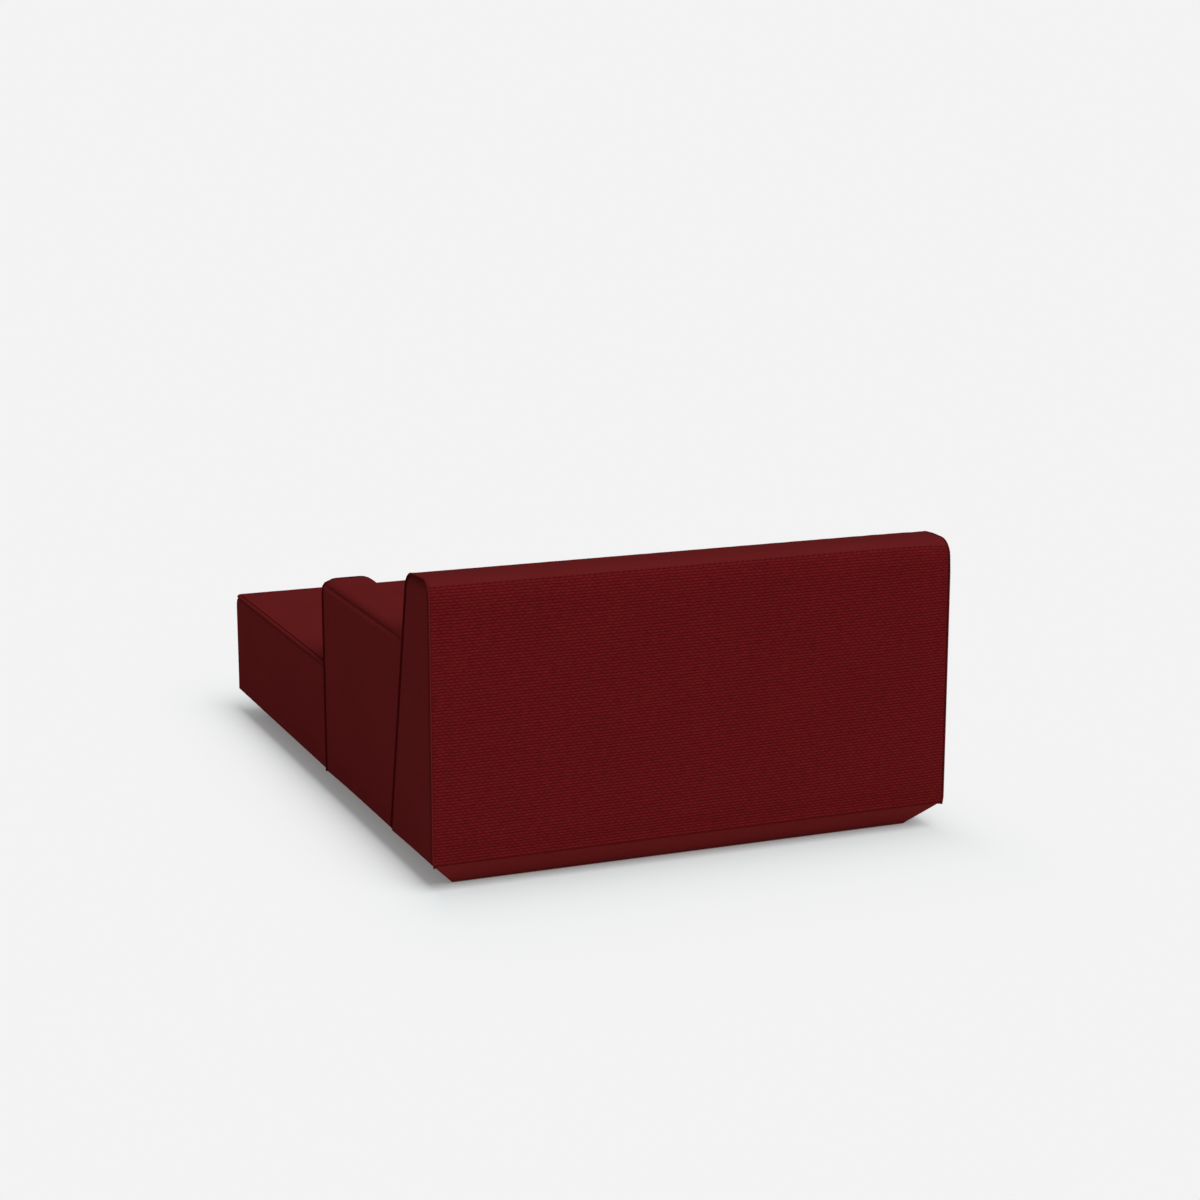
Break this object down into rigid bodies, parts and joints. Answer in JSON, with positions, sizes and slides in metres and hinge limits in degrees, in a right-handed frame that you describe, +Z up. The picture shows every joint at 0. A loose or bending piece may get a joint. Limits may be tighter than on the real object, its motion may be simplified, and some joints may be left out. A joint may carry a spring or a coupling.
{
  "type": "upholstered recamier daybed",
  "caption": "Low block-shaped upholstered recamier: full-depth seat, wedge-shaped backrest and short wedge-shaped armrest, with a bevelled foot.",
  "frame": {"origin": "on the floor under the middle of the whole, at the bottom of the glides", "axes": "+Z up, +Y towards the backrest (the front of the seat faces -Y), +X towards the armrest"},
  "size_m": [1.365, 1.805, 0.7561],
  "materials": {
    "weave": "coarse basket weave, matt",
    "smooth_cloth": "fine smooth cloth, matt",
    "foam": "cut polyurethane foam",
    "wadding": "polyester wadding",
    "timber": "planed softwood",
    "plywood": "sanded birch plywood",
    "hardboard": "smooth hardboard",
    "strap": "woven elastic webbing",
    "felt": "needled felt",
    "dust_cloth": "non-woven cloth",
    "glide": "matt polyethylene",
    "steel": "zinc-plated"
  },
  "bodies": {
    "seat": {"seat_rails": "timber", "seat_cross_rails": "timber", "seat_corner_blocks": "timber", "seat_foot_battens": "timber", "seat_webbing_length": "strap", "seat_webbing_cross": "strap", "seat_felt": "felt", "seat_foam_core": "foam", "seat_foam_soft": "foam", "seat_foam_sides": "foam", "seat_wadding": "wadding", "seat_cover_top": "weave", "seat_cover_edge": "weave", "seat_cover_sides": "weave", "seat_cover_foot": "smooth_cloth", "seat_dust_cover": "dust_cloth", "seat_glides": "glide", "seat_tongues": "steel", "seat_tongue_screws": "steel"},
    "backrest": {"back_base_board": "plywood", "back_ribs": "plywood", "back_rear_board": "hardboard", "back_top_rail": "timber", "back_webbing": "strap", "back_foot_battens": "timber", "back_foam_front": "foam", "back_foam_crown": "foam", "back_foam_rear": "foam", "back_foam_ends": "foam", "back_cover_band": "weave", "back_cover_ends": "weave", "back_seam_lips": "weave", "back_cover_foot": "smooth_cloth", "back_glides": "glide", "back_sockets": "steel", "back_socket_screws": "steel"},
    "armrest": {"arm_base_board": "plywood", "arm_ribs": "plywood", "arm_outer_board": "hardboard", "arm_inner_board": "hardboard", "arm_top_rail": "timber", "arm_foot_battens": "timber", "arm_foam_inner": "foam", "arm_foam_crown": "foam", "arm_foam_outer": "foam", "arm_foam_ends": "foam", "arm_cover_band": "weave", "arm_cover_ends": "weave", "arm_seam_lip": "weave", "arm_cover_foot": "smooth_cloth", "arm_glides": "glide", "arm_sockets": "steel", "arm_socket_screws": "steel"}
  },
  "joints": [
    {"name": "backrest_pull", "type": "slide", "parent": "seat", "child": "backrest", "axis": [0, 1, 0], "range_m": [0, 0.12]},
    {"name": "armrest_pull", "type": "slide", "parent": "seat", "child": "armrest", "axis": [1, 0, 0], "range_m": [0, 0.12]}
  ]
}
